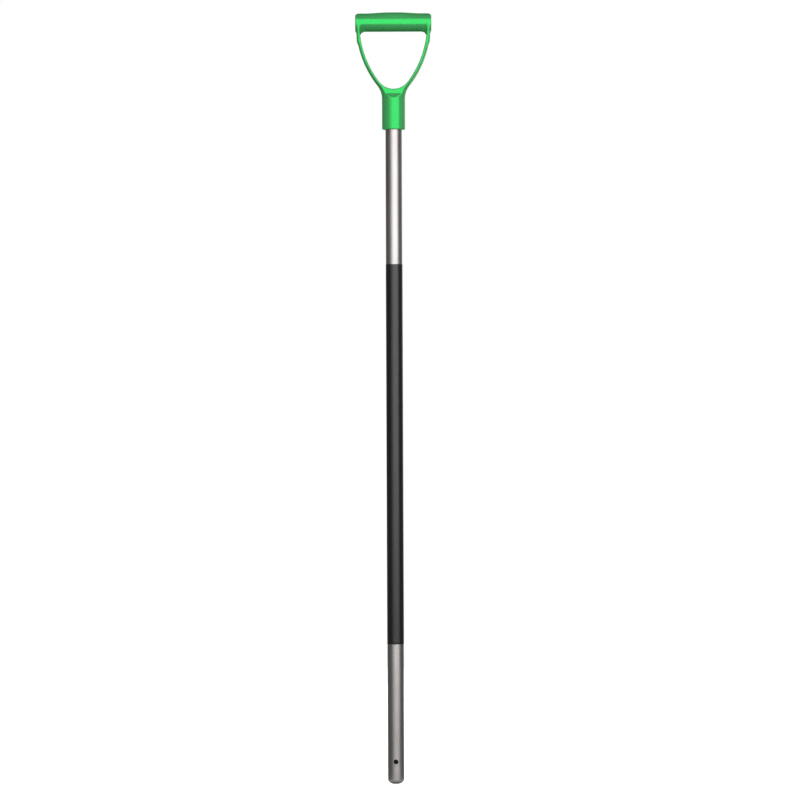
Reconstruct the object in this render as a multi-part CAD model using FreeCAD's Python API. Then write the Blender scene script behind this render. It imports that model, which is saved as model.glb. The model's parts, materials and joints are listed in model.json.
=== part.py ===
import FreeCAD, Part
import math
import os

from FreeCAD import Vector

# Long handle of a beach sand scoop: a straight aluminium tube with a moulded D-grip on its top end, a thin
# shrink sleeve over its middle, and a rolled lower end with a hole in its front for the scoop's fixing bolt.
# Millimetres. The origin is the middle of the tube's lower end. +Z runs up the tube to the grip, +X along the
# grip's crossbar, and the front of the handle faces -Y.

# Driving dimensions of the shaft.
TUBE_OD = 25.4  # one-inch tube
TUBE_WALL = 1.5
LOWER_BARE_LENGTH = 218.0  # bare tube below the sleeve, which the scoop's socket takes
SLEEVE_LENGTH = 592.0
UPPER_BARE_LENGTH = 210.0  # bare tube between the sleeve and the grip
SOCKET_DEPTH = 46.0  # how far the tube reaches up inside the grip's collar
SLEEVE_WALL = 0.35
END_ROLL_HEIGHT = 7.8  # height over which the tube's lower end is rolled in
END_MOUTH_RADIUS = 5.0  # opening left in the rolled end
BOLT_HOLE_RADIUS = 3.5
BOLT_HOLE_HEIGHT = 35.0

# Driving dimensions of the D-grip. Heights are above the collar's lower edge.
COLLAR_RADIUS = 18.0
COLLAR_EDGE_ROUND = 1.2
SHOULDER_BOTTOM_HEIGHT = 48.8  # here the round collar starts to slope in to the flat front of the yoke
SHOULDER_TOP_HEIGHT = 56.3
SOCKET_CLEARANCE = 0.05
ARM_THICKNESS = 5.7
ARM_DEPTH = 27.0  # front to back
ARM_EDGE_ROUND = 1.7
OPENING_BOTTOM_HEIGHT = 63.0
OPENING_BOTTOM_RADIUS = 28.0
OPENING_SIDE_RADIUS = 150.0
OPENING_BOTTOM_HALF_ANGLE = math.radians(53.0)
CORNER_WEB_ROUND = 7.0  # in the two upper corners of the hand opening
CORNER_WEB_DEPTH = 14.0
YOKE_FLARE_RADIUS = 34.0  # hollow curve from the collar's side out into each arm
HEEL_BOTTOM_HEIGHT = 131.0  # small outward heel on each arm just below the crossbar
HEEL_TOP_HEIGHT = 137.5
HEEL_HALF_WIDTH = 57.1
BAR_UNDERSIDE_HEIGHT = 152.65
BAR_HALF_LENGTH = 59.3
BAR_RADIUS = 14.3
BAR_END_ROUND = 4.5
PALM_SWELL = 1.6  # how far the middle of the bar's top rises above its ends
PALM_SWELL_REACH = 44.0  # half-length of the swell
PALM_SWELL_SECTIONS = 9

# Driving dimensions of the blind rivet on the back of the collar.
RIVET_HEIGHT = 23.0  # above the collar's lower edge
RIVET_BODY_RADIUS = 2.4
RIVET_HEAD_RADIUS = 4.75
RIVET_HEAD_THICKNESS = 1.6
RIVET_HEAD_RIM = 0.56  # height of the straight edge of the head
RIVET_HEAD_SHOULDER = (1.28, 3.42)  # height and radius at which the head's slope eases
RIVET_RECESS_RADIUS = 5.6
RIVET_RECESS_FLOOR = 15.9  # distance of the recess floor from the tube's axis
RIVET_TAIL_RADIUS = 3.4
RIVET_TAIL_LENGTH = 4.5
MANDREL_RADIUS = 1.35
MANDREL_BREAK_DEPTH = 0.6  # how far the broken end lies below the top of the head
RIVET_HOLE_CLEARANCE = 0.05

TUBE_RADIUS = TUBE_OD / 2
TUBE_INNER_RADIUS = TUBE_RADIUS - TUBE_WALL
SLEEVE_BOTTOM = LOWER_BARE_LENGTH
SLEEVE_TOP = SLEEVE_BOTTOM + SLEEVE_LENGTH
GRIP_BOTTOM = SLEEVE_TOP + UPPER_BARE_LENGTH
TUBE_TOP = GRIP_BOTTOM + SOCKET_DEPTH
BAR_AXIS_HEIGHT = BAR_UNDERSIDE_HEIGHT + BAR_RADIUS
UP = Vector(0, 0, 1)
BACK = Vector(0, 1, 0)
ALONG_BAR = Vector(1, 0, 0)
TOUCHING = 1e-3  # two places closer than this are the same place


def revolved(profile):
    """Solid made by turning a closed XZ profile once round the tube's axis."""
    return Part.Face(Part.Wire(profile)).revolve(Vector(0, 0, 0), UP, 360)


def arc(a, b, c):
    """Circular edge through three points."""
    return Part.Arc(a, b, c).toShape()


def line(a, b):
    """Straight edge between two points."""
    return Part.LineSegment(a, b).toShape()


def closed_polyline(points):
    """Straight edges that join the points and return to the first."""
    return [line(a, b) for a, b in zip(points, points[1:] + points[:1])]


def rolled_wall(radius, height, lowest):
    """Straight wall of the tube and its elliptical roll in to the mouth, and the roll's end at the mouth."""
    centre = Vector(0, 0, lowest + height)
    ellipse = Part.Ellipse(centre + Vector(radius, 0, 0), centre - Vector(0, 0, height), centre)
    roll = Part.ArcOfEllipse(ellipse, 0, math.acos(END_MOUTH_RADIUS / radius))
    wall = line(centre + Vector(radius, 0, 0), Vector(radius, 0, TUBE_TOP))
    return [wall, roll.toShape()], roll.EndPoint


def make_shaft_tube():
    """Drawn tube with its lower end rolled in to a small mouth, and one hole drilled in its front wall."""
    mouth_share = math.sqrt(1 - (END_MOUTH_RADIUS / TUBE_RADIUS) ** 2)
    lowest = -END_ROLL_HEIGHT * (1 - mouth_share)
    outside, outside_mouth = rolled_wall(TUBE_RADIUS, END_ROLL_HEIGHT, lowest)
    inside, inside_mouth = rolled_wall(TUBE_INNER_RADIUS, END_ROLL_HEIGHT - TUBE_WALL, lowest + TUBE_WALL)
    top = line(Vector(TUBE_INNER_RADIUS, 0, TUBE_TOP), Vector(TUBE_RADIUS, 0, TUBE_TOP))
    lip = line(outside_mouth, inside_mouth)
    tube = revolved(Part.sortEdges(outside + inside + [top, lip])[0])
    bolt_hole = Part.makeCylinder(BOLT_HOLE_RADIUS, TUBE_OD, Vector(0, 0, BOLT_HOLE_HEIGHT), -BACK)
    return tube.cut(bolt_hole).cut(rivet_hole(RIVET_BODY_RADIUS + RIVET_HOLE_CLEARANCE))


def make_shaft_sleeve():
    """Thin shrink sleeve, open at both ends, over the middle of the tube."""
    outer = Part.makeCylinder(TUBE_RADIUS + SLEEVE_WALL, SLEEVE_LENGTH, Vector(0, 0, SLEEVE_BOTTOM))
    inner = Part.makeCylinder(TUBE_RADIUS, SLEEVE_LENGTH, Vector(0, 0, SLEEVE_BOTTOM))
    return outer.cut(inner)


def side_arc_centre():
    """Centre of the large arcs that shape the right-hand arm, in the XZ plane of the grip."""
    reach = OPENING_SIDE_RADIUS - OPENING_BOTTOM_RADIUS
    middle_height = OPENING_BOTTOM_HEIGHT + OPENING_BOTTOM_RADIUS
    return Vector(
        -reach * math.sin(OPENING_BOTTOM_HALF_ANGLE),
        0,
        middle_height + reach * math.cos(OPENING_BOTTOM_HALF_ANGLE),
    )


def on_side_arc(radius, height):
    """Point of the right-hand arm's arc of this radius at this height."""
    centre = side_arc_centre()
    drop = centre.z - height
    return Vector(centre.x + math.sqrt(radius**2 - drop**2), 0, height)


def mirrored(point):
    """The same point on the other side of the grip."""
    return Vector(-point.x, point.y, point.z)


def yoke_flare(outer_radius):
    """Start, middle and end of the hollow curve from the collar's side to the arm's outer arc."""
    centre = side_arc_centre()
    across = COLLAR_RADIUS + YOKE_FLARE_RADIUS - centre.x
    drop = math.sqrt((outer_radius + YOKE_FLARE_RADIUS) ** 2 - across**2)
    flare_centre = Vector(COLLAR_RADIUS + YOKE_FLARE_RADIUS, 0, centre.z - drop)
    to_collar = Vector(-YOKE_FLARE_RADIUS, 0, 0)
    to_arm = (centre - flare_centre).normalize() * YOKE_FLARE_RADIUS
    to_middle = (to_collar + to_arm).normalize() * YOKE_FLARE_RADIUS
    return flare_centre + to_collar, flare_centre + to_middle, flare_centre + to_arm


def make_trumpet():
    """Round body whose side outline is the collar, the flare of the yoke and the outside of the arms."""
    outer_radius = OPENING_SIDE_RADIUS + ARM_THICKNESS
    arm_top_height = BAR_AXIS_HEIGHT - ARM_EDGE_ROUND
    corner = COLLAR_EDGE_ROUND * (1 - math.sqrt(0.5))
    collar_foot = Vector(COLLAR_RADIUS - COLLAR_EDGE_ROUND, 0, 0)
    collar_corner = Vector(COLLAR_RADIUS - corner, 0, corner)
    collar_side = Vector(COLLAR_RADIUS, 0, COLLAR_EDGE_ROUND)
    flare_start, flare_middle, flare_end = yoke_flare(outer_radius)
    heel_bottom = on_side_arc(outer_radius, HEEL_BOTTOM_HEIGHT)
    arm_middle = on_side_arc(outer_radius, (flare_end.z + HEEL_BOTTOM_HEIGHT) / 2)
    heel_top = Vector(HEEL_HALF_WIDTH, 0, HEEL_TOP_HEIGHT)
    tip = on_side_arc(outer_radius, arm_top_height)
    top_middle = Vector(0, 0, arm_top_height)
    return revolved(
        [
            line(Vector(0, 0, 0), collar_foot),
            arc(collar_foot, collar_corner, collar_side),
            line(collar_side, flare_start),
            arc(flare_start, flare_middle, flare_end),
            arc(flare_end, arm_middle, heel_bottom),
            line(heel_bottom, heel_top),
            line(heel_top, tip),
            line(tip, top_middle),
            line(top_middle, Vector(0, 0, 0)),
        ]
    )


def make_depth_limit():
    """Block as deep as the moulding at each height: full collar, sloping shoulder, then the arms' depth."""
    slope = (COLLAR_RADIUS - ARM_DEPTH / 2) / (SHOULDER_TOP_HEIGHT - SHOULDER_BOTTOM_HEIGHT)
    beyond = COLLAR_EDGE_ROUND  # carries the shoulder's slope on outside the collar
    left = -BAR_HALF_LENGTH
    front = [
        Vector(left, -COLLAR_RADIUS - beyond, -beyond),
        Vector(left, -COLLAR_RADIUS - beyond, SHOULDER_BOTTOM_HEIGHT - beyond / slope),
        Vector(left, -ARM_DEPTH / 2, SHOULDER_TOP_HEIGHT),
        Vector(left, -ARM_DEPTH / 2, BAR_AXIS_HEIGHT),
    ]
    back = [Vector(p.x, -p.y, p.z) for p in reversed(front)]
    return Part.Face(Part.Wire(closed_polyline(front + back))).extrude(ALONG_BAR * (2 * BAR_HALF_LENGTH))


def make_opening():
    """Block of the hand opening, carried up into the crossbar and out through both faces."""
    bottom = Vector(0, 0, OPENING_BOTTOM_HEIGHT)
    join_height = OPENING_BOTTOM_HEIGHT + OPENING_BOTTOM_RADIUS * (1 - math.cos(OPENING_BOTTOM_HALF_ANGLE))
    join = Vector(OPENING_BOTTOM_RADIUS * math.sin(OPENING_BOTTOM_HALF_ANGLE), 0, join_height)
    top = on_side_arc(OPENING_SIDE_RADIUS, BAR_AXIS_HEIGHT + BAR_RADIUS)
    middle = on_side_arc(OPENING_SIDE_RADIUS, (join_height + top.z) / 2)
    outline = Part.Wire(
        [
            arc(mirrored(join), bottom, join),
            arc(join, middle, top),
            line(top, mirrored(top)),
            arc(mirrored(top), mirrored(middle), mirrored(join)),
        ]
    )
    outline.translate(Vector(0, -ARM_DEPTH, 0))
    return Part.Face(outline).extrude(Vector(0, 2 * ARM_DEPTH, 0))


def arm_face_edges(shape):
    """Edges of the flat front and back faces, apart from the shoulder's and those inside the crossbar."""
    found = []
    for edge in shape.Edges:
        box = edge.optimalBoundingBox()
        flat = box.YLength < TOUCHING and abs(abs(box.Center.y) - ARM_DEPTH / 2) < TOUCHING
        level = box.ZLength < TOUCHING
        if flat and not level:
            found.append(edge)
    return found


def make_arms_and_collar():
    """Collar, yoke and both arms: a round trumpet cut to its depth, less the hand opening."""
    body = make_trumpet().common(make_depth_limit()).cut(make_opening())
    return body.makeFillet(ARM_EDGE_ROUND, arm_face_edges(body))


def bar_section(x):
    """Round section of the crossbar, with its top raised by the palm swell."""
    share = min(abs(x) / PALM_SWELL_REACH, 1.0)
    rise = PALM_SWELL * 0.5 * (1 + math.cos(math.pi * share))
    middle = Vector(x, 0, BAR_AXIS_HEIGHT)
    front = middle - BACK * BAR_RADIUS
    back = middle + BACK * BAR_RADIUS
    top = middle + UP * (BAR_RADIUS + rise)
    bottom = middle - UP * BAR_RADIUS
    return Part.Wire([arc(front, top, back), arc(back, bottom, front)])


def make_bar():
    """Crossbar: a middle with a low palm swell on its top, between two plain ends with rounded corners."""
    step = 2 * PALM_SWELL_REACH / (PALM_SWELL_SECTIONS - 1)
    places = [step * i - PALM_SWELL_REACH for i in range(PALM_SWELL_SECTIONS)]
    swelled = Part.makeLoft([bar_section(x) for x in places], True)
    ends = []
    for side in (-1, 1):
        start = Vector(side * PALM_SWELL_REACH, 0, BAR_AXIS_HEIGHT)
        length = BAR_HALF_LENGTH - PALM_SWELL_REACH
        end = Part.makeCylinder(BAR_RADIUS, length, start, ALONG_BAR * side)
        rims = [e for e in end.Edges if abs(abs(e.BoundBox.Center.x) - BAR_HALF_LENGTH) < TOUCHING]
        ends.append(end.makeFillet(BAR_END_ROUND, rims))
    return swelled.fuse(ends)


def make_corner_web(side):
    """Web that rounds the corner between one arm and the underside of the crossbar."""
    arms = side_arc_centre()
    height = BAR_UNDERSIDE_HEIGHT - CORNER_WEB_ROUND
    reach = OPENING_SIDE_RADIUS - CORNER_WEB_ROUND
    centre = Vector(arms.x + math.sqrt(reach**2 - (arms.z - height) ** 2), 0, height)
    to_arm = (centre - arms).normalize() * CORNER_WEB_ROUND
    to_bar = Vector(0, 0, CORNER_WEB_ROUND)
    to_corner = (to_arm + to_bar).normalize() * CORNER_WEB_ROUND
    inside_arm = centre + to_arm + Vector(ARM_THICKNESS / 2, 0, 0)
    inside_bar = centre + to_bar + Vector(0, 0, CORNER_WEB_ROUND)
    far_corner = Vector(inside_arm.x, 0, inside_bar.z)
    outline = Part.Wire(
        [
            arc(centre + to_bar, centre + to_corner, centre + to_arm),
            line(centre + to_arm, inside_arm),
            line(inside_arm, far_corner),
            line(far_corner, inside_bar),
            line(inside_bar, centre + to_bar),
        ]
    )
    outline.translate(Vector(0, -CORNER_WEB_DEPTH / 2, 0))
    web = Part.Face(outline).extrude(Vector(0, CORNER_WEB_DEPTH, 0))
    return web if side > 0 else web.mirror(Vector(0, 0, 0), ALONG_BAR)


def rivet_hole(radius):
    """Round hole for the rivet, from the tube's axis out through the back, in the handle's own frame."""
    return Part.makeCylinder(radius, 2 * COLLAR_RADIUS, Vector(0, 0, GRIP_BOTTOM + RIVET_HEIGHT), BACK)


def make_d_grip():
    """The whole one-piece moulding: crossbar, arms, yoke and collar, with the socket for the tube."""
    pieces = [make_bar(), make_corner_web(-1), make_corner_web(1)]
    moulding = make_arms_and_collar().fuse(pieces).removeSplitter()
    socket = Part.makeCylinder(TUBE_RADIUS + SOCKET_CLEARANCE, SOCKET_DEPTH)
    recess = Part.makeCylinder(
        RIVET_RECESS_RADIUS, COLLAR_RADIUS, Vector(0, RIVET_RECESS_FLOOR, RIVET_HEIGHT), BACK
    )
    moulding = moulding.cut(socket).cut(recess)
    moulding.translate(Vector(0, 0, GRIP_BOTTOM))
    return moulding.cut(rivet_hole(RIVET_BODY_RADIUS + RIVET_HOLE_CLEARANCE))


def along_rivet(profile):
    """Solid turned round the rivet's axis, from (distance from the shaft's axis, radius) pairs."""
    points = [Vector(radius, depth, 0) for depth, radius in profile]
    turned = Part.Face(Part.Wire(closed_polyline(points))).revolve(Vector(0, 0, 0), BACK, 360)
    turned.translate(Vector(0, 0, GRIP_BOTTOM + RIVET_HEIGHT))
    return turned


def make_rivet_body():
    """Set blind rivet: low domed head in the collar's recess, shank, and bulged tail inside the tube."""
    inside_wall = TUBE_INNER_RADIUS
    crown = RIVET_RECESS_FLOOR + RIVET_HEAD_THICKNESS
    shoulder_height, shoulder_radius = RIVET_HEAD_SHOULDER
    return along_rivet(
        [
            (inside_wall - RIVET_TAIL_LENGTH, MANDREL_RADIUS),
            (inside_wall - RIVET_TAIL_LENGTH, RIVET_BODY_RADIUS),
            (inside_wall - RIVET_TAIL_LENGTH / 2, RIVET_TAIL_RADIUS),
            (inside_wall - RIVET_HOLE_CLEARANCE, RIVET_BODY_RADIUS),
            (RIVET_RECESS_FLOOR, RIVET_BODY_RADIUS),
            (RIVET_RECESS_FLOOR, RIVET_HEAD_RADIUS),
            (RIVET_RECESS_FLOOR + RIVET_HEAD_RIM, RIVET_HEAD_RADIUS),
            (RIVET_RECESS_FLOOR + shoulder_height, shoulder_radius),
            (crown, RIVET_BODY_RADIUS),
            (crown, MANDREL_RADIUS),
        ]
    )


def make_rivet_mandrel():
    """Broken-off steel pin inside the rivet, with its head against the tail."""
    tail_end = TUBE_INNER_RADIUS - RIVET_TAIL_LENGTH
    broken_end = RIVET_RECESS_FLOOR + RIVET_HEAD_THICKNESS - MANDREL_BREAK_DEPTH
    head_end = tail_end - MANDREL_RADIUS
    return along_rivet(
        [
            (head_end, 0),
            (head_end, MANDREL_RADIUS),
            (tail_end - MANDREL_RADIUS / 2, RIVET_BODY_RADIUS),
            (tail_end, RIVET_BODY_RADIUS),
            (tail_end, MANDREL_RADIUS),
            (broken_end, MANDREL_RADIUS),
            (broken_end, 0),
        ]
    )


def write_parts():
    """One STEP file for each physical piece."""
    os.makedirs("parts", exist_ok=True)
    pieces = {
        "d_grip": make_d_grip(),
        "shaft_tube": make_shaft_tube(),
        "shaft_sleeve": make_shaft_sleeve(),
        "rivet_body": make_rivet_body(),
        "rivet_mandrel": make_rivet_mandrel(),
    }
    for name, shape in pieces.items():
        shape.exportStep("parts/" + name + ".step")
        box = shape.optimalBoundingBox()
        print(name, shape.isValid(), len(shape.Solids), "solid,", round(shape.Volume), "mm3,", box)


write_parts()
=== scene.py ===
import json
import math

import bmesh
import bpy
import numpy as np
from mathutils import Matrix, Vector


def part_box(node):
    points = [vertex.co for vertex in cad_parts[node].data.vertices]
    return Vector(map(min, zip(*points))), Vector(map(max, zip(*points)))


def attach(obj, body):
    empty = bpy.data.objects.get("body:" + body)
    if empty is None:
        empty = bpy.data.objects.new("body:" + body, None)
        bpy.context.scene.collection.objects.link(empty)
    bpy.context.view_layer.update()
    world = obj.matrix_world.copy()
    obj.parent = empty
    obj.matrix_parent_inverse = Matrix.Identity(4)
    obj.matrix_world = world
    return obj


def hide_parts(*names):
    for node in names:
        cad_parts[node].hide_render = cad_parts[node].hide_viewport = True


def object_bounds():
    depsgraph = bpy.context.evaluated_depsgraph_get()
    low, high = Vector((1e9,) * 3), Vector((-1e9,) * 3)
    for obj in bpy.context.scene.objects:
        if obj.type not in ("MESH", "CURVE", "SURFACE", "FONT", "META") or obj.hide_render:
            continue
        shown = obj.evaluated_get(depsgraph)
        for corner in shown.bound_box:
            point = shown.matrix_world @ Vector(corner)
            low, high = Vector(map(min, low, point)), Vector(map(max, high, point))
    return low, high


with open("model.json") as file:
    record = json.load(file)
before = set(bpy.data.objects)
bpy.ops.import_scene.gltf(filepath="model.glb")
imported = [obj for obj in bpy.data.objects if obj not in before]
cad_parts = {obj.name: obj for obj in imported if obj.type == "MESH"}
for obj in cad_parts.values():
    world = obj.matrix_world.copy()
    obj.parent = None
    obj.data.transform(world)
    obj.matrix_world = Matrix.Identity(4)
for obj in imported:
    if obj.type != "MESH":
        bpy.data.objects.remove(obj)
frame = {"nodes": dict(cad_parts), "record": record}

# Long handle of a beach sand scoop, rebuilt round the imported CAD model: a moulded D-grip, a drawn aluminium
# tube with a rolled lower end, a thin black sleeve and a blind rivet. Metres, +Z up, front towards -Y.

MM = 0.001
CAD_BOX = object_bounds()

# Places and main sizes, read from the CAD model.
GRIP_LOW, GRIP_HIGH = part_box("d_grip")
TUBE_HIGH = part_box("shaft_tube")[1]
SLEEVE_LOW, SLEEVE_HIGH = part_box("shaft_sleeve")
RIVET_LOW, RIVET_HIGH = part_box("rivet_body")
MANDREL_LOW, MANDREL_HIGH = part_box("rivet_mandrel")
MOUNTS = {mount["name"]: mount for mount in frame["record"]["mounts"]}
GRIP_BOTTOM = GRIP_LOW.z
TUBE_RADIUS = TUBE_HIGH.x
SLEEVE_RADIUS = SLEEVE_HIGH.x
RIVET_HEIGHT = (RIVET_LOW.z + RIVET_HIGH.z) / 2
RIVET_HEAD_RADIUS = (RIVET_HIGH.z - RIVET_LOW.z) / 2

# D-grip. Heights are above the collar's lower edge.
COLLAR_RADIUS = 18.0 * MM
COLLAR_EDGE_ROUND = 1.2 * MM
SHOULDER_BOTTOM = 48.8 * MM  # here the round collar starts to slope in to the flat front of the yoke
SHOULDER_TOP = 56.3 * MM
SHOULDER_ROUND = 0.5 * MM
ARM_HALF_DEPTH = 13.5 * MM
ARM_THICKNESS = 5.7 * MM
YOKE_EDGE_ROUND = 0.6 * MM  # crisp where the shoulder meets the collar, softer up the arms
ARM_OUTER_ROUND = 2.2 * MM
ARM_INNER_ROUND = 1.9 * MM
YOKE_EDGE_END = 95.0 * MM  # from here up the arms' edges are fully soft
ARM_TOP = 163.5 * MM  # inside the crossbar
OPENING_BOTTOM = 63.0 * MM
OPENING_BOTTOM_RADIUS = 28.0 * MM
OPENING_BOTTOM_HALF_ANGLE = math.radians(53.0)
OPENING_SIDE_RADIUS = 150.0 * MM
FLARE_RADIUS = 34.0 * MM  # hollow curve from the collar's side out into each arm
HEEL_BOTTOM = 131.0 * MM  # small outward heel on each arm just below the crossbar
HEEL_TOP = 137.5 * MM
HEEL_HALF_WIDTH = 57.1 * MM
BAR_UNDERSIDE = 152.65 * MM
BAR_HALF_LENGTH = GRIP_HIGH.x
BAR_RADIUS = 14.3 * MM
PALM_SWELL = (GRIP_HIGH.z - GRIP_LOW.z) - (BAR_UNDERSIDE + 2 * BAR_RADIUS)  # rise along the top of the bar
SWELL_FLAT = 8.0 * MM  # half-length over which the swell is highest
SWELL_REACH = 44.0 * MM
SWELL_START = 0.35  # height above the bar's axis where the swell starts, as a share of the bar's radius
TOP_ROUND_START = 0.5  # the same for the rounder end edges
BAR_TOP_END_ROUND = 5.2 * MM  # end edges on top of the bar
BAR_FRONT_END_ROUND = 1.4 * MM
CORNER_ROUND = 7.0 * MM  # in the two upper corners of the hand opening
WEB_TOP = 11.0 * MM  # above the middle of that rounding, inside the crossbar
WEB_EDGE_ROUND = 1.0 * MM
WEB_BLEND = 0.8 * MM
JOIN_ROUND = 2.5 * MM  # where the arms' faces run into the crossbar
SOCKET_RADIUS = TUBE_RADIUS + 0.05 * MM
SOCKET_DEPTH = TUBE_HIGH.z - GRIP_BOTTOM
SOCKET_MOUTH_ROUND = 0.6 * MM
RECESS_RADIUS = 5.6 * MM
RECESS_FLOOR = 15.9 * MM  # distance of the rivet recess's floor from the tube's axis
RECESS_ROUND = 0.8 * MM
RIVET_HOLE_RADIUS = 2.45 * MM

# How the grip's mesh is made.
GRIP_QUAD = 0.7 * MM
SLOPE_STEP = 0.02 * MM  # half the distance over which a slope is measured
FARTHEST = 1.0 * MM  # a distance counts as no more than this when a point is moved
LEAST_STEEPNESS = 0.25  # squared slope below which a move grows no further
FIRST_STEPS = 4  # settling steps before the evening rounds
EVENING_ROUNDS = 4
STEPS_PER_ROUND = 2
EVENING_SHARE = 0.5

# Tube and sleeve.
TUBE_WALL = 1.5 * MM
END_ROLL_HEIGHT = 7.8 * MM
END_MOUTH_RADIUS = 5.0 * MM
HOLE_EDGE_ROUND = 0.3 * MM  # of the holes drilled in the tube and the collar
AROUND = 128  # faces round the tube and the sleeve
ROW_GAP = 12.0 * MM  # between rows of the tube's faces, away from its holes
ROLL_ROWS = 10
BOLT_HOLE_REACH = 10  # half-size, in faces, of the square that is closed round the bolt hole
RIVET_HOLE_REACH = 7
HOLE_RINGS = 5
HOLE_RING_CROWDING = 0.8  # below 1 the rings of faces lie closer together near the hole
SLEEVE_GAP = 0.01 * MM  # between the tube and the sleeve
SLEEVE_EDGE_ROUND = 0.25 * MM
SLEEVE_EDGE_STEPS = 4
SLEEVE_ROWS = 148
SLEEVE_RIPPLE = 0.02 * MM
SLEEVE_WAVES = ((61.0, 0.0, 1.0), (173.0, 1.0, 0.6))  # radians per metre, phase and relative size
TUBE_SHARP_ANGLE = math.radians(40)
SLEEVE_SHARP_ANGLE = math.radians(50)

# Blind rivet and its mandrel.
RIVET_AROUND = 48
RIVET_SHANK_RADIUS = 2.4 * MM
RIVET_BORE_RADIUS = 1.35 * MM
RIVET_TAIL_RADII = (3.2 * MM, 3.4 * MM, 3.1 * MM)  # near the blind end, in the middle and by the tube's wall
RIVET_TAIL_MIDDLE = 2.25 * MM  # from the blind end
RIVET_TAIL_SHOULDER = 1.0 * MM
RIVET_TAIL_GAP = 0.05 * MM  # between the tail and the tube's wall
RIVET_RIM_INSET = 0.3 * MM  # of the small bevel under the head
RIVET_RIM_HEIGHT = 0.25 * MM
RIVET_DOME_START = 0.4 * MM
RIVET_DOME_STEPS = 8
RIVET_LIP_WIDTH = 0.35 * MM
RIVET_SHARP_ANGLE = math.radians(45)
MANDREL_AROUND = 32
MANDREL_GAP = 0.03 * MM
MANDREL_SHARP_ANGLE = math.radians(35)

# Camera and light. Azimuth 0 is the front, and grows towards +X.
CAMERA_DISTANCE = 6.93
CAMERA_LENS = 200.0
CAMERA_HEIGHT = 0.5984
CAMERA_ASIDE = 8.3 * MM
CAMERA_ROLL = math.radians(0.22)
VIEW_DEPTH = 50.0
LIGHT_DISTANCE = 2.5
FLOOR_HALF_WIDTH = 3.0
BOUNCE_LIFT = 0.3 * MM  # of the bounce card above the floor


# ---------------------------------------------------------------- shape of the D-grip, as distances

def rounded_overlap(a, b, radius):
    """Distance to what two solids share, with the edge between them rounded."""
    corner = np.hypot(np.maximum(radius + a, 0.0), np.maximum(radius + b, 0.0))
    return np.minimum(-radius, np.maximum(a, b)) + corner


def rounded_union(a, b, radius):
    """Distance to two solids together, with the corner between them filled to a round."""
    corner = np.hypot(np.maximum(radius - a, 0.0), np.maximum(radius - b, 0.0))
    return np.maximum(radius, np.minimum(a, b)) - corner


def side_of_line(x, h, start, end):
    """Distance to the right of the line that runs up from start to end."""
    along = np.array(end) - np.array(start)
    along /= np.linalg.norm(along)
    return (x - start[0]) * along[1] - (h - start[1]) * along[0]


def side_arc_centre():
    """Centre of the large arcs of the right-hand arm, as (x, height)."""
    reach = OPENING_SIDE_RADIUS - OPENING_BOTTOM_RADIUS
    x = -reach * math.sin(OPENING_BOTTOM_HALF_ANGLE)
    h = OPENING_BOTTOM + OPENING_BOTTOM_RADIUS + reach * math.cos(OPENING_BOTTOM_HALF_ANGLE)
    return x, h


def trumpet(across, h):
    """Round body that gives the collar, the flare of the yoke and the outside of the arms."""
    centre_x, centre_h = side_arc_centre()
    outer_radius = OPENING_SIDE_RADIUS + ARM_THICKNESS
    flare_x = COLLAR_RADIUS + FLARE_RADIUS
    flare_h = centre_h - math.sqrt((outer_radius + FLARE_RADIUS) ** 2 - (flare_x - centre_x) ** 2)
    flare_share = FLARE_RADIUS / (outer_radius + FLARE_RADIUS)
    flare_top = flare_h + (centre_h - flare_h) * flare_share
    collar = across - COLLAR_RADIUS
    flare = FLARE_RADIUS - np.hypot(across - flare_x, h - flare_h)
    sweep = np.hypot(across - centre_x, h - centre_h) - outer_radius
    heel_foot = (centre_x + math.sqrt(outer_radius**2 - (centre_h - HEEL_BOTTOM) ** 2), HEEL_BOTTOM)
    heel_crest = (HEEL_HALF_WIDTH, HEEL_TOP)
    arm_tip = (centre_x + math.sqrt(outer_radius**2 - (centre_h - ARM_TOP) ** 2), ARM_TOP)
    heel = np.maximum(
        side_of_line(across, h, heel_foot, heel_crest), side_of_line(across, h, heel_crest, arm_tip)
    )
    upper = np.where(h > HEEL_BOTTOM, np.minimum(sweep, heel), sweep)
    return np.where(h < flare_h, collar, np.where(h < flare_top, flare, upper))


def depth_limit(y, h):
    """Front and back: the arms' flat faces, and the shoulder that slopes out from them to the collar."""
    slope = (COLLAR_RADIUS - ARM_HALF_DEPTH) / (SHOULDER_TOP - SHOULDER_BOTTOM)
    faces = np.abs(y) - ARM_HALF_DEPTH
    shoulder = (np.abs(y) - COLLAR_RADIUS + (h - SHOULDER_BOTTOM) * slope) / math.hypot(1.0, slope)
    return rounded_union(faces, shoulder, SHOULDER_ROUND)


def hand_opening(x, h):
    """Outline of the hand opening below the crossbar, negative inside it."""
    centre_x, centre_h = side_arc_centre()
    low_centre = OPENING_BOTTOM + OPENING_BOTTOM_RADIUS
    bottom = np.hypot(x, h - low_centre) - OPENING_BOTTOM_RADIUS
    side = np.hypot(np.abs(x) - centre_x, h - centre_h) - OPENING_SIDE_RADIUS
    in_bottom = np.abs(x) < (low_centre - h) * math.tan(OPENING_BOTTOM_HALF_ANGLE)
    return np.where(in_bottom, bottom, side)


def blended(value, start, end):
    """Smooth share from 0 at start to 1 at end."""
    share = np.clip((value - start) / (end - start), 0.0, 1.0)
    return share * share * (3.0 - 2.0 * share)


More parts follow.
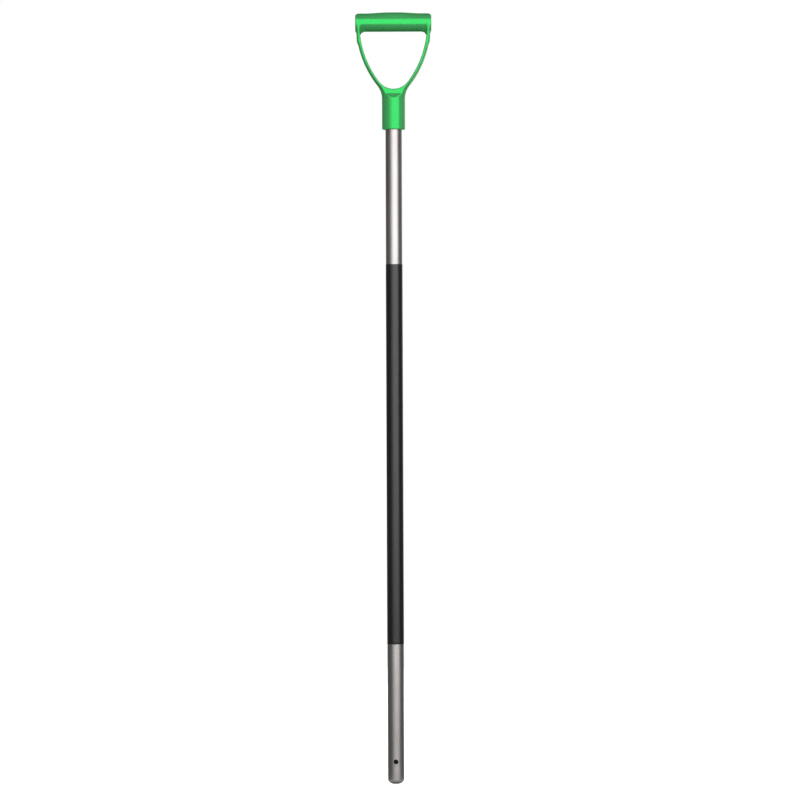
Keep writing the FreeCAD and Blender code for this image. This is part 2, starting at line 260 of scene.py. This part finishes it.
def crossbar(x, y, h):
    """Round bar with a low palm swell along its top, and end edges that are rounder on top than in front."""
    lift = (h - BAR_UNDERSIDE - BAR_RADIUS) / BAR_RADIUS
    swell = PALM_SWELL * blended(np.abs(x), SWELL_REACH, SWELL_FLAT) * blended(lift, SWELL_START, 1.0)
    side = np.hypot(y, h - swell - BAR_UNDERSIDE - BAR_RADIUS) - BAR_RADIUS
    rounder = blended(lift, TOP_ROUND_START, 1.0)
    rounding = BAR_FRONT_END_ROUND + (BAR_TOP_END_ROUND - BAR_FRONT_END_ROUND) * rounder
    return rounded_overlap(side, np.abs(x) - BAR_HALF_LENGTH, rounding)


def corner_web(x, y, h):
    """Webs that round the corners between the arms and the underside of the crossbar."""
    arm_x, arm_h = side_arc_centre()
    middle_h = BAR_UNDERSIDE - CORNER_ROUND
    middle_x = arm_x + math.sqrt((OPENING_SIDE_RADIUS - CORNER_ROUND) ** 2 - (arm_h - middle_h) ** 2)
    beside = np.abs(x) - middle_x
    above = h - middle_h
    hollow = CORNER_ROUND - np.hypot(beside, above)
    low_sides = np.maximum(-beside, -above)
    high_sides = np.maximum(beside - CORNER_ROUND - ARM_THICKNESS / 2, above - WEB_TOP)
    web = np.maximum(hollow, np.maximum(low_sides, high_sides))
    slope = (np.abs(y) + BAR_UNDERSIDE + BAR_RADIUS - h) / math.sqrt(2.0) - BAR_RADIUS
    return rounded_overlap(web, slope, WEB_EDGE_ROUND)


def d_grip_distance(points):
    """Distance outside the whole moulding, for points in the handle's frame."""
    x, y, h = points[:, 0], points[:, 1], points[:, 2] - GRIP_BOTTOM
    across = np.hypot(x, y)
    opening = hand_opening(x, h)
    body = rounded_overlap(trumpet(across, h), -h, COLLAR_EDGE_ROUND)
    softer = blended(h, SHOULDER_TOP, YOKE_EDGE_END)
    edge = YOKE_EDGE_ROUND + (ARM_OUTER_ROUND - YOKE_EDGE_ROUND) * softer
    body = rounded_overlap(body, depth_limit(y, h), edge)
    body = rounded_overlap(body, -opening, ARM_INNER_ROUND)
    body = np.maximum(body, h - ARM_TOP)
    body = rounded_union(body, crossbar(x, y, h), JOIN_ROUND)
    body = rounded_union(body, corner_web(x, y, h), WEB_BLEND)
    body = np.maximum(body, np.abs(x) - BAR_HALF_LENGTH)
    socket = np.maximum(across - SOCKET_RADIUS, h - SOCKET_DEPTH)
    body = rounded_overlap(body, -socket, SOCKET_MOUTH_ROUND)
    from_rivet = np.hypot(x, points[:, 2] - RIVET_HEIGHT)
    recess = np.maximum(from_rivet - RECESS_RADIUS, RECESS_FLOOR - y)
    body = rounded_overlap(body, -recess, RECESS_ROUND)
    rivet_hole = np.maximum(from_rivet - RIVET_HOLE_RADIUS, -y)
    return rounded_overlap(body, -rivet_hole, HOLE_EDGE_ROUND)


def slope_of(distance, points):
    """Gradient of a distance function at each point."""
    slopes = np.empty_like(points)
    for axis in range(3):
        shift = np.zeros(3)
        shift[axis] = SLOPE_STEP
        slopes[:, axis] = (distance(points + shift) - distance(points - shift)) / (2 * SLOPE_STEP)
    return slopes


def grip_normals(points):
    """Outward unit normal of the moulding at each point."""
    normals = slope_of(d_grip_distance, points)
    normals /= np.linalg.norm(normals, axis=1)[:, None]
    return normals


def settle_on(distance, points, steps):
    """Moves points along the gradient until they lie on the surface."""
    for _ in range(steps):
        slopes = slope_of(distance, points)
        steepness = np.maximum((slopes**2).sum(1), LEAST_STEEPNESS)
        move = np.clip(distance(points), -FARTHEST, FARTHEST) / steepness
        points = points - slopes * move[:, None]
    return points


def evened(points, edges, normals):
    """Slides each point along the surface, part of the way towards the middle of its neighbours."""
    total = np.zeros_like(points)
    count = np.zeros(len(points))
    for here, there in ((0, 1), (1, 0)):
        np.add.at(total, edges[:, here], points[edges[:, there]])
        np.add.at(count, edges[:, here], 1.0)
    pull = total / count[:, None] - points
    return points + EVENING_SHARE * (pull - normals * (pull * normals).sum(1)[:, None])


def finish_piece(piece, nodes, material):
    """Smooth shading, material, and the piece's place in the frame."""
    piece.data.materials.clear()
    piece.data.materials.append(material)
    piece.data.polygons.foreach_set("use_smooth", [True] * len(piece.data.polygons))
    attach(piece, "root")
    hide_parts(*nodes)
    return piece


def linked(name, mesh):
    """New object with this mesh in the scene."""
    piece = bpy.data.objects.new(name, mesh)
    bpy.context.scene.collection.objects.link(piece)
    return piece


def make_d_grip(material):
    """Even quads over the CAD moulding, settled on the round-edged shape of d_grip_distance."""
    rough = linked("rough_grip", frame["nodes"]["d_grip"].data.copy())
    remesh = rough.modifiers.new("even_quads", "REMESH")
    remesh.mode = "VOXEL"
    remesh.voxel_size = GRIP_QUAD
    evaluated = rough.evaluated_get(bpy.context.evaluated_depsgraph_get())
    mesh = bpy.data.meshes.new_from_object(evaluated)
    bpy.data.objects.remove(rough)
    count = len(mesh.vertices)
    points = np.empty(count * 3)
    mesh.vertices.foreach_get("co", points)
    points = points.reshape(count, 3)
    edges = np.empty(len(mesh.edges) * 2, int)
    mesh.edges.foreach_get("vertices", edges)
    edges = edges.reshape(-1, 2)
    points = settle_on(d_grip_distance, points, FIRST_STEPS)
    for _ in range(EVENING_ROUNDS):
        points = evened(points, edges, grip_normals(points))
        points = settle_on(d_grip_distance, points, STEPS_PER_ROUND)
    mesh.vertices.foreach_set("co", points.ravel())
    mesh.update()
    piece = finish_piece(linked("moulded_d_grip", mesh), ["d_grip"], material)
    mesh.normals_split_custom_set_from_vertices(grip_normals(points).tolist())
    return piece


# ---------------------------------------------------------------- tube, sleeve and rivet

def quarter_turn(steps):
    """Evenly spaced angles from 0 to 90 degrees."""
    return [math.pi / 2 * k / steps for k in range(steps + 1)]


def lathe(name, profile, around, place):
    """Closed mesh turned from (radius, distance along the axis) pairs, the last of which joins the first."""
    mesh = bmesh.new()
    rings = []
    for radius, along in profile:
        ring = []
        for i in range(around):
            angle = 2 * math.pi * i / around
            ring.append(mesh.verts.new(place(radius * math.cos(angle), radius * math.sin(angle), along)))
        rings.append(ring)
    for ring, following in zip(rings, rings[1:] + rings[:1]):
        for i in range(around):
            j = (i + 1) % around
            mesh.faces.new((ring[i], ring[j], following[j], following[i]))
    bmesh.ops.recalc_face_normals(mesh, faces=mesh.faces)
    data = bpy.data.meshes.new(name)
    mesh.to_mesh(data)
    mesh.free()
    return data


def upright(x, y, along):
    """Place on a part turned about the shaft's axis."""
    return (x, y, along)


def rivet_axis(x, y, along):
    """Place on a part turned about the rivet's axis, which runs out through the collar's back."""
    return (x, along, RIVET_HEIGHT + y)


def drilled_shell(mesh, radius, heights, holes, edge):
    """One skin of the tube with its holes, wider by edge; returns its bottom, top and each hole's ring."""
    grid = []
    for z in heights:
        ring = []
        for i in range(AROUND):
            angle = 2 * math.pi * i / AROUND
            ring.append(mesh.verts.new((radius * math.sin(angle), -radius * math.cos(angle), z)))
        grid.append(ring)
    skipped = set()
    rims = []
    for side, middle, hole_radius, reach in holes:
        centre = 0 if side < 0 else AROUND // 2
        row = min(range(len(heights)), key=lambda k: abs(heights[k] - middle))
        for j in range(-reach, reach):
            for i in range(-reach, reach):
                skipped.add((row + j, (centre + i) % AROUND))
        frame_path = (
            [(-reach, k) for k in range(-reach, reach)]
            + [(k, reach) for k in range(-reach, reach)]
            + [(reach, k) for k in range(reach, -reach, -1)]
            + [(k, -reach) for k in range(reach, -reach, -1)]
        )
        outer = [grid[row + j][(centre + i) % AROUND] for j, i in frame_path]
        rims.append(hole_rings(mesh, radius, side, heights[row], hole_radius + edge, outer))
    for j in range(len(heights) - 1):
        for i in range(AROUND):
            if (j, i) not in skipped:
                k = (i + 1) % AROUND
                mesh.faces.new((grid[j][i], grid[j][k], grid[j + 1][k], grid[j + 1][i]))
    return grid[0], grid[-1], rims


def hole_rings(mesh, radius, side, height, hole_radius, outer):
    """Rings of faces that close from a square of the skin's vertices in to a round hole."""
    previous = outer
    for step in range(1, HOLE_RINGS + 1):
        share = (step / HOLE_RINGS) ** HOLE_RING_CROWDING
        ring = []
        for vert in outer:
            angle = math.atan2(vert.co.z - height, vert.co.x)
            x = vert.co.x + (hole_radius * math.cos(angle) - vert.co.x) * share
            z = vert.co.z + (height + hole_radius * math.sin(angle) - vert.co.z) * share
            ring.append(mesh.verts.new((x, side * math.sqrt(radius**2 - x**2), z)))
        stitch(mesh, previous, ring)
        previous = ring
    return previous


def stitch(mesh, ring, other):
    """Faces between two rings of equally many vertices."""
    count = len(ring)
    for i in range(count):
        j = (i + 1) % count
        mesh.faces.new((ring[i], ring[j], other[j], other[i]))


def wall_heights(low, high, holes, fine):
    """Heights of the rows of a tube skin, close together round each hole and far apart elsewhere."""
    marks = [low]
    for _, middle, _, reach in sorted(holes, key=lambda hole: hole[1]):
        start = middle - reach * fine
        gaps = max(1, round((start - marks[-1]) / ROW_GAP))
        marks += [marks[-1] + (start - marks[-1]) * k / gaps for k in range(1, gaps)]
        marks += [middle + k * fine for k in range(-reach, reach + 1)]
    gaps = max(1, round((high - marks[-1]) / ROW_GAP))
    marks += [marks[-1] + (high - marks[-1]) * k / gaps for k in range(1, gaps + 1)]
    return marks


def rolled_end(mesh, radius, inset, roll_top, ring):
    """Rows of faces that roll a skin's lowest ring in to the mouth; returns the ring at the mouth."""
    roll_height = END_ROLL_HEIGHT - inset
    end_angle = math.acos(END_MOUTH_RADIUS / radius)
    for k in range(1, ROLL_ROWS + 1):
        angle = end_angle * k / ROLL_ROWS
        across = radius * math.cos(angle)
        z = roll_top - roll_height * math.sin(angle)
        following = []
        for i in range(AROUND):
            turn = 2 * math.pi * i / AROUND
            following.append(mesh.verts.new((across * math.sin(turn), -across * math.cos(turn), z)))
        stitch(mesh, ring, following)
        ring = following
    return ring


def hole_wall(mesh, side, height, hole_radius, rim, far_rim):
    """Softened outer edge of a drilled hole, and its wall in to the tube's inner skin."""
    edge_ring = []
    for vert in rim:
        angle = math.atan2(vert.co.z - height, vert.co.x)
        x = hole_radius * math.cos(angle)
        z = height + hole_radius * math.sin(angle)
        depth = math.sqrt(TUBE_RADIUS**2 - x**2) - HOLE_EDGE_ROUND
        edge_ring.append(mesh.verts.new((x, side * depth, z)))
    stitch(mesh, rim, edge_ring)
    stitch(mesh, edge_ring, far_rim)


def make_tube(material):
    """Tube with both walls, drilled holes with softened edges, square top and rolled-in lower end."""
    fine = 2 * math.pi * TUBE_RADIUS / AROUND
    bolt = MOUNTS["scoop_bolt_hole"]
    holes = [  # side (-1 is the front), height, radius, and reach in faces
        (-1, bolt["pos_m"][2], bolt["dims"]["r_mm"] * MM, BOLT_HOLE_REACH),
        (1, RIVET_HEIGHT, RIVET_HOLE_RADIUS, RIVET_HOLE_REACH),
    ]
    mouth_share = math.sqrt(1 - (END_MOUTH_RADIUS / TUBE_RADIUS) ** 2)
    roll_top = END_ROLL_HEIGHT * mouth_share
    heights = wall_heights(roll_top, TUBE_HIGH.z, holes, fine)
    mesh = bmesh.new()
    skins = []
    for inset in (0.0, TUBE_WALL):
        edge = HOLE_EDGE_ROUND if inset == 0.0 else 0.0
        radius = TUBE_RADIUS - inset
        bottom, top, rims = drilled_shell(mesh, radius, heights, holes, edge)
        mouth = rolled_end(mesh, radius, inset, roll_top, bottom)
        skins.append((mouth, top, rims))
    (outer_mouth, outer_top, outer_rims), (inner_mouth, inner_top, inner_rims) = skins
    stitch(mesh, outer_mouth, inner_mouth)
    stitch(mesh, outer_top, inner_top)
    for (side, height, hole_radius, _), rim, far_rim in zip(holes, outer_rims, inner_rims):
        hole_wall(mesh, side, height, hole_radius, rim, far_rim)
    bmesh.ops.recalc_face_normals(mesh, faces=mesh.faces)
    data = bpy.data.meshes.new("tube")
    mesh.to_mesh(data)
    mesh.free()
    piece = finish_piece(linked("drawn_tube", data), ["shaft_tube"], material)
    data.set_sharp_from_angle(angle=TUBE_SHARP_ANGLE)
    return piece


def make_sleeve(material):
    """Thin sleeve, shrunk on, with rounded ends and the faint unevenness of a shrunk skin."""
    low = SLEEVE_LOW.z
    high = SLEEVE_HIGH.z
    outer = SLEEVE_RADIUS
    inner = TUBE_RADIUS + SLEEVE_GAP
    rounding = SLEEVE_EDGE_ROUND
    profile = []
    for angle in quarter_turn(SLEEVE_EDGE_STEPS):
        z = low + rounding * (1 - math.cos(angle))
        profile.append((outer - rounding + rounding * math.sin(angle), z))
    for k in range(1, SLEEVE_ROWS):
        z = low + rounding + (high - low - 2 * rounding) * k / SLEEVE_ROWS
        ripple = sum(size * math.sin(rate * z + phase) for rate, phase, size in SLEEVE_WAVES)
        profile.append((outer - SLEEVE_RIPPLE * (1 + ripple) / 2, z))
    for angle in quarter_turn(SLEEVE_EDGE_STEPS):
        z = high - rounding * (1 - math.sin(angle))
        profile.append((outer - rounding + rounding * math.cos(angle), z))
    profile.append((inner, high))
    profile.append((inner, low))
    data = lathe("sleeve", profile, AROUND, upright)
    piece = finish_piece(linked("shrink_sleeve", data), ["shaft_sleeve"], material)
    data.set_sharp_from_angle(angle=SLEEVE_SHARP_ANGLE)
    return piece


def rivet_profile():
    """Half outline of the set rivet, from its blind end out to its head, as (radius, distance) pairs."""
    face = RIVET_HIGH.y
    floor = RECESS_FLOOR
    head = RIVET_HEAD_RADIUS
    shank = RIVET_SHANK_RADIUS
    bore = RIVET_BORE_RADIUS
    start = RIVET_LOW.y
    end = TUBE_RADIUS - TUBE_WALL
    blind_radius, middle_radius, wall_radius = RIVET_TAIL_RADII
    profile = [
        (bore, start),
        (shank, start),
        (blind_radius, start + RIVET_TAIL_SHOULDER),
        (middle_radius, start + RIVET_TAIL_MIDDLE),
        (wall_radius, end - RIVET_TAIL_SHOULDER),
        (shank, end - RIVET_TAIL_GAP),
        (shank, floor),
        (head - RIVET_RIM_INSET, floor),
        (head, floor + RIVET_RIM_HEIGHT),
    ]
    lip = bore + RIVET_LIP_WIDTH
    dome_low = floor + RIVET_DOME_START
    dome_rise = face - floor - RIVET_DOME_START
    for angle in quarter_turn(RIVET_DOME_STEPS):
        profile.append((lip + (head - lip) * math.cos(angle), dome_low + dome_rise * math.sin(angle)))
    profile.append((bore + 0.1 * MM, face - 0.15 * MM))
    profile.append((bore, face - 0.5 * MM))
    return profile


def mandrel_profile():
    """Half outline of the mandrel, from its head inside the tube to its jagged broken end."""
    start = MANDREL_LOW.y
    broken = MANDREL_HIGH.y
    tail_start = RIVET_LOW.y
    pin = RIVET_BORE_RADIUS - MANDREL_GAP
    return [
        (0.05 * MM, start),
        (0.9 * MM, start),
        (RIVET_BORE_RADIUS, start + 0.3 * MM),
        (RIVET_SHANK_RADIUS, tail_start - 0.4 * MM),
        (RIVET_SHANK_RADIUS, tail_start),
        (pin, tail_start),
        (pin, broken - 0.3 * MM),
        (pin - 0.15 * MM, broken - 0.1 * MM),
        (0.7 * MM, broken - 0.2 * MM),
        (0.35 * MM, broken),
        (0.05 * MM, broken - 0.12 * MM),
    ]


def make_rivet(body_material, steel_material):
    """Set blind rivet, with the broken mandrel in its middle."""
    body = lathe("rivet", rivet_profile(), RIVET_AROUND, rivet_axis)
    finish_piece(linked("rivet_head", body), ["rivet_body"], body_material)
    body.set_sharp_from_angle(angle=RIVET_SHARP_ANGLE)
    steel = lathe("mandrel", mandrel_profile(), MANDREL_AROUND, rivet_axis)
    finish_piece(linked("rivet_pin", steel), ["rivet_mandrel"], steel_material)
    steel.set_sharp_from_angle(angle=MANDREL_SHARP_ANGLE)


# ---------------------------------------------------------------- materials

NOISE_LOW = 0.3  # most of a noise pattern lies between these two
NOISE_HIGH = 0.7


def add(tree, kind, values=None, **settings):
    """New shader node; values are its inputs, each a number, a colour or another node's output."""
    node = tree.nodes.new("ShaderNode" + kind)
    for name, value in settings.items():
        setattr(node, name, value)
    for socket, value in (values or {}).items():
        if isinstance(value, bpy.types.NodeSocket):
            tree.links.new(value, node.inputs[socket])
        else:
            node.inputs[socket].default_value = value
    return node


def new_material(name):
    """Empty material, its node tree and the coordinates in the handle's frame."""
    material = bpy.data.materials.new(name)
    material.use_nodes = True
    tree = material.node_tree
    tree.nodes.clear()
    place = add(tree, "TexCoord").outputs["Object"]
    return material, tree, place


def stretched(tree, place, scale):
    """Coordinates stretched by a factor on each axis."""
    return add(tree, "Mapping", {"Vector": place, "Scale": scale}).outputs["Vector"]


def noise(tree, place, scale, detail=3.0, roughness=0.5):
    """Soft random pattern from 0 to 1."""
    values = {"Vector": place, "Scale": scale, "Detail": detail, "Roughness": roughness}
    return add(tree, "TexNoise", values).outputs["Fac"]


def ranged(tree, value, low, high, to_low, to_high):
    """Value carried from one range to another, and held at its ends."""
    values = {"Value": value, "From Min": low, "From Max": high, "To Min": to_low, "To Max": to_high}
    return add(tree, "MapRange", values).outputs["Result"]


def two_colours(tree, share, first, second):
    """Colour between two, by a share from 0 to 1; the first may come from another node."""
    mix = add(tree, "Mix", data_type="RGBA")
    tree.links.new(share, mix.inputs["Factor"])
    colour_inputs = [s for s in mix.inputs if s.type == "RGBA"]
    if isinstance(first, bpy.types.NodeSocket):
        tree.links.new(first, colour_inputs[0])
    else:
        colour_inputs[0].default_value = (*first, 1.0)
    colour_inputs[1].default_value = (*second, 1.0)
    return [s for s in mix.outputs if s.type == "RGBA"][0]


def calculated(tree, operation, first, second=0.0):
    """One step of arithmetic."""
    node = add(tree, "Math", operation=operation)
    for socket, value in zip(node.inputs, (first, second)):
        if isinstance(value, bpy.types.NodeSocket):
            tree.links.new(value, socket)
        else:
            socket.default_value = value
    return node.outputs["Value"]


def bumped(tree, height, distance, strength=1.0, under=None):
    """Surface normal pushed by a height pattern, on top of another bump if one is given."""
    values = {"Height": height, "Distance": distance, "Strength": strength}
    if under is not None:
        values["Normal"] = under
    return add(tree, "Bump", values).outputs["Normal"]


def finish_material(tree, values):
    """Principled surface with these inputs."""
    surface = add(tree, "BsdfPrincipled", values)
    output = add(tree, "OutputMaterial")
    tree.links.new(surface.outputs["BSDF"], output.inputs["Surface"])


def green_plastic():
    """Glossy moulded plastic: fine spark-eroded grain, faint clouding and the mould's parting line."""
    material, tree, place = new_material("green_plastic")
    dark = (0.037, 0.215, 0.067)
    light = (0.042, 0.240, 0.076)
    clouds = noise(tree, place, scale=38.0, detail=4.0)
    grain = noise(tree, place, scale=1900.0, detail=2.0)
    peel = noise(tree, place, scale=260.0, detail=1.0)
    parts = add(tree, "SeparateXYZ", {"Vector": place})
    from_plane = calculated(tree, "ABSOLUTE", parts.outputs["Y"])
    line_core = 0.15 * MM
    line_edge = 0.35 * MM
    parting = ranged(tree, from_plane, line_core, line_edge, 1.0, 0.0)
    normal = bumped(tree, peel, distance=0.012 * MM, strength=0.5)
    normal = bumped(tree, grain, distance=0.010 * MM, strength=0.6, under=normal)
    normal = bumped(tree, parting, distance=0.06 * MM, strength=1.0, under=normal)
    finish_material(
        tree,
        {
            "Base Color": two_colours(tree, clouds, dark, light),
            "Roughness": ranged(tree, clouds, NOISE_LOW, NOISE_HIGH, 0.19, 0.24),
            "IOR": 1.8,
            "Specular IOR Level": 1.0,
            "Specular Tint": (0.01, 0.84, 0.12, 1.0),
            "Sheen Weight": 0.5,
            "Sheen Roughness": 0.25,
            "Sheen Tint": (0.05, 1.0, 0.2, 1.0),
            "Normal": normal,
        },
    )
    return material


def drawn_aluminium():
    """Bare drawn tube: fine lines along it, faint patches, scuffs near its lower end, and painted shade that
    darkens the bore.
    """
    material, tree, place = new_material("drawn_aluminium")
    dark = (0.295, 0.281, 0.272)
    light = (0.355, 0.343, 0.338)
    # Near-black painted shade for the inside of the tube, where it is seen through its holes.
    painted_bore_shade = (0.03, 0.03, 0.03)
    drawn_out = stretched(tree, place, (1.0, 1.0, 0.008))
    lines = noise(tree, drawn_out, scale=2600.0, detail=4.0, roughness=0.65)
    patches = noise(tree, stretched(tree, place, (1.0, 1.0, 0.3)), scale=60.0, detail=3.0)
    rings = noise(tree, stretched(tree, place, (0.02, 0.02, 1.0)), scale=2200.0, detail=3.0)
    parts = add(tree, "SeparateXYZ", {"Vector": place}).outputs
    height = parts["Z"]
    across = add(tree, "CombineXYZ", {"X": parts["X"], "Y": parts["Y"]}).outputs["Vector"]
    radius = add(tree, "VectorMath", {"Vector": across}, operation="LENGTH").outputs["Value"]
    # Painted shade: a mask that darkens the inner wall, fades out across the wall's ends and fades in above
    # the mouth.
    bore_wall = TUBE_RADIUS - TUBE_WALL
    bore_fade = bore_wall + 0.3 * TUBE_WALL
    bore = ranged(tree, radius, bore_wall, bore_fade, 1.0, 0.0)
    mouth_top = 1 * MM
    full_dark = 4 * MM
    above_mouth = ranged(tree, height, mouth_top, full_dark, 0.0, 1.0)
    bore = calculated(tree, "MULTIPLY", bore, above_mouth)
    scuffs_top = 0.21
    near_end = ranged(tree, height, 0.0, scuffs_top, 1.0, 0.0)
    faint_scuff = 0.62
    full_scuff = 0.72
    scuffs = calculated(tree, "MULTIPLY", ranged(tree, rings, faint_scuff, full_scuff, 0.0, 1.0), near_end)
    scuff_roughness = 0.08
    dulling = calculated(tree, "MULTIPLY", scuffs, scuff_roughness)
    roughness = ranged(tree, lines, NOISE_LOW, NOISE_HIGH, 0.33, 0.42)
    roughness = calculated(tree, "ADD", roughness, dulling)
    patch_share = 0.6
    line_share = 0.4
    tone = calculated(tree, "MULTIPLY", ranged(tree, patches, NOISE_LOW, NOISE_HIGH, 0.0, 1.0), patch_share)
    tone = calculated(tree, "ADD", tone, ranged(tree, lines, NOISE_LOW, NOISE_HIGH, 0.0, line_share))
    normal = bumped(tree, lines, distance=0.004 * MM, strength=0.6)
    normal = bumped(tree, scuffs, distance=0.003 * MM, strength=0.5, under=normal)
    outside = two_colours(tree, tone, dark, light)
    finish_material(
        tree,
        {
            # The outer tone, turned to painted shade inside the bore.
            "Base Color": two_colours(tree, bore, outside, painted_bore_shade),
            "Metallic": 1.0,
            "Roughness": roughness,
            "Normal": normal,
        },
    )
    return material


def black_sleeve():
    """Satin black shrink tubing with a fine skin and faint lengthwise rub marks."""
    material, tree, place = new_material("black_sleeve")
    dark = (0.0030, 0.0030, 0.0028)
    light = (0.0055, 0.0053, 0.0050)
    skin = noise(tree, place, scale=900.0, detail=3.0)
    rubs = noise(tree, stretched(tree, place, (1.0, 1.0, 0.05)), scale=420.0, detail=3.0)
    clouds = noise(tree, place, scale=22.0, detail=3.0)
    faint_rub = 0.35
    full_rub = 0.75
    roughness = ranged(tree, rubs, faint_rub, full_rub, 0.30, 0.37)
    normal = bumped(tree, skin, distance=0.01 * MM, strength=0.5)
    finish_material(
        tree,
        {
            "Base Color": two_colours(tree, clouds, dark, light),
            "Roughness": roughness,
            "IOR": 1.5,
            "Specular IOR Level": 0.43,
            "Normal": normal,
        },
    )
    return material


def rivet_metal(name, dark, light, roughness):
    """Small bare-metal part, lightly marked by its setting tool."""
    material, tree, place = new_material(name)
    marks = noise(tree, place, scale=1400.0, detail=4.0, roughness=0.6)
    normal = bumped(tree, marks, distance=0.01 * MM, strength=0.5)
    rougher = roughness + 0.12
    finish_material(
        tree,
        {
            "Base Color": two_colours(tree, marks, dark, light),
            "Metallic": 1.0,
            "Roughness": ranged(tree, marks, NOISE_LOW, NOISE_HIGH, roughness, rougher),
            "Normal": normal,
        },
    )
    return material


# ---------------------------------------------------------------- floor, light and camera

def make_floor():
    """White floor under the tube's lower end, which glows so that it looks like the backdrop."""
    half = FLOOR_HALF_WIDTH
    mesh = bpy.data.meshes.new("floor")
    corners = [(-half, -half), (half, -half), (half, half), (-half, half)]
    mesh.from_pydata([(x, y, CAD_BOX[0].z) for x, y in corners], [], [(0, 1, 2, 3)])
    floor = linked("floor", mesh)
    material, tree, place = new_material("pale_floor")
    dark = (0.88, 0.88, 0.88)
    light = (0.92, 0.92, 0.92)
    speckle = noise(tree, place, scale=90.0)
    values = {
        "Base Color": two_colours(tree, speckle, dark, light),
        "Roughness": 0.8,
        "Emission Color": (1.0, 1.0, 1.0, 1.0),
        "Emission Strength": 1.0,
    }
    finish_material(tree, values)
    mesh.materials.append(material)
    floor.visible_glossy = False
    floor.visible_diffuse = False


def softbox(name, azimuth, width, low, high, radiance, glossy=True):
    """Upright rectangle of soft light that faces the shaft; without glossy it isn't seen in reflections."""
    data = bpy.data.lights.new(name, "AREA")
    data.shape = "RECTANGLE"
    data.size = width
    data.size_y = high - low
    data.energy = radiance * width * (high - low) * math.pi
    light = bpy.data.objects.new(name, data)
    turn = math.radians(azimuth)
    outward = Vector((math.sin(turn), -math.cos(turn), 0.0))
    light.location = outward * LIGHT_DISTANCE + Vector((0.0, 0.0, (low + high) / 2))
    light.rotation_euler = (-outward).to_track_quat("-Z", "Y").to_euler()
    light.visible_camera = False
    light.visible_glossy = glossy
    bpy.context.scene.collection.objects.link(light)


def bounce_card(name, azimuth, distance, width, radiance):
    """Small square of light that lies on the floor beside the tube's lower end and faces up."""
    data = bpy.data.lights.new(name, "AREA")
    data.size = width
    data.energy = radiance * width**2 * math.pi
    light = bpy.data.objects.new(name, data)
    turn = math.radians(azimuth)
    light.location = (distance * math.sin(turn), -distance * math.cos(turn), CAD_BOX[0].z + BOUNCE_LIFT)
    light.rotation_euler = (math.pi, 0.0, 0.0)
    light.visible_camera = False
    bpy.context.scene.collection.objects.link(light)


def make_world():
    """White to the camera; for light and reflections a dim room, darker straight above and below."""
    world = bpy.data.worlds.new("studio")
    bpy.context.scene.world = world
    world.use_nodes = True
    tree = world.node_tree
    tree.nodes.clear()
    direction = add(tree, "TexCoord").outputs["Generated"]
    up = add(tree, "SeparateXYZ", {"Vector": direction}).outputs["Z"]
    near_level = 0.15
    near_upright = 0.95
    level_colour = (0.21, 0.205, 0.20)
    upright_colour = (0.04, 0.04, 0.04)
    share = ranged(tree, calculated(tree, "ABSOLUTE", up), near_level, near_upright, 0.0, 1.0)
    room = add(tree, "Background", {"Color": two_colours(tree, share, level_colour, upright_colour)})
    backdrop = add(tree, "Background", {"Color": (1.0, 1.0, 1.0, 1.0)})
    to_camera = add(tree, "LightPath").outputs["Is Camera Ray"]
    mix = add(tree, "MixShader", {"Fac": to_camera})
    tree.links.new(room.outputs["Background"], mix.inputs[1])
    tree.links.new(backdrop.outputs["Background"], mix.inputs[2])
    output = add(tree, "OutputWorld")
    tree.links.new(mix.outputs["Shader"], output.inputs["Surface"])


def make_camera():
    """Long lens in front of the handle, level and about half-way up it, with a slight roll."""
    data = bpy.data.cameras.new("camera")
    data.lens = CAMERA_LENS
    data.clip_end = VIEW_DEPTH
    camera = bpy.data.objects.new("camera", data)
    camera.location = (CAMERA_ASIDE, -CAMERA_DISTANCE, CAMERA_HEIGHT)
    camera.rotation_euler = (math.pi / 2, CAMERA_ROLL, 0.0)
    bpy.context.scene.collection.objects.link(camera)
    bpy.context.scene.camera = camera


make_camera()
make_world()
make_floor()
softbox("front_softbox", azimuth=16.0, width=3.9, low=0.1, high=3.5, radiance=3.4)
softbox("left_wing", azimuth=-34.0, width=1.05, low=0.1, high=3.5, radiance=1.3)
softbox("left_fill", azimuth=-80.0, width=3.0, low=0.3, high=3.0, radiance=1.0, glossy=False)
softbox("right_fill", azimuth=80.0, width=3.0, low=0.3, high=3.0, radiance=1.0, glossy=False)
softbox("back_right", azimuth=145.0, width=1.6, low=0.3, high=3.0, radiance=0.6)
softbox("back_fill", azimuth=180.0, width=4.0, low=0.3, high=3.0, radiance=2.0, glossy=False)
bounce_card("floor_bounce", azimuth=8.0, distance=0.02, width=0.08, radiance=0.55)
make_d_grip(green_plastic())
make_tube(drawn_aluminium())
make_sleeve(black_sleeve())
make_rivet(
    rivet_metal("rivet_aluminium", dark=(0.55, 0.55, 0.56), light=(0.75, 0.75, 0.76), roughness=0.28),
    rivet_metal("rivet_steel", dark=(0.28, 0.28, 0.29), light=(0.45, 0.45, 0.46), roughness=0.35),
)
bpy.context.scene.view_settings.view_transform = "Standard"
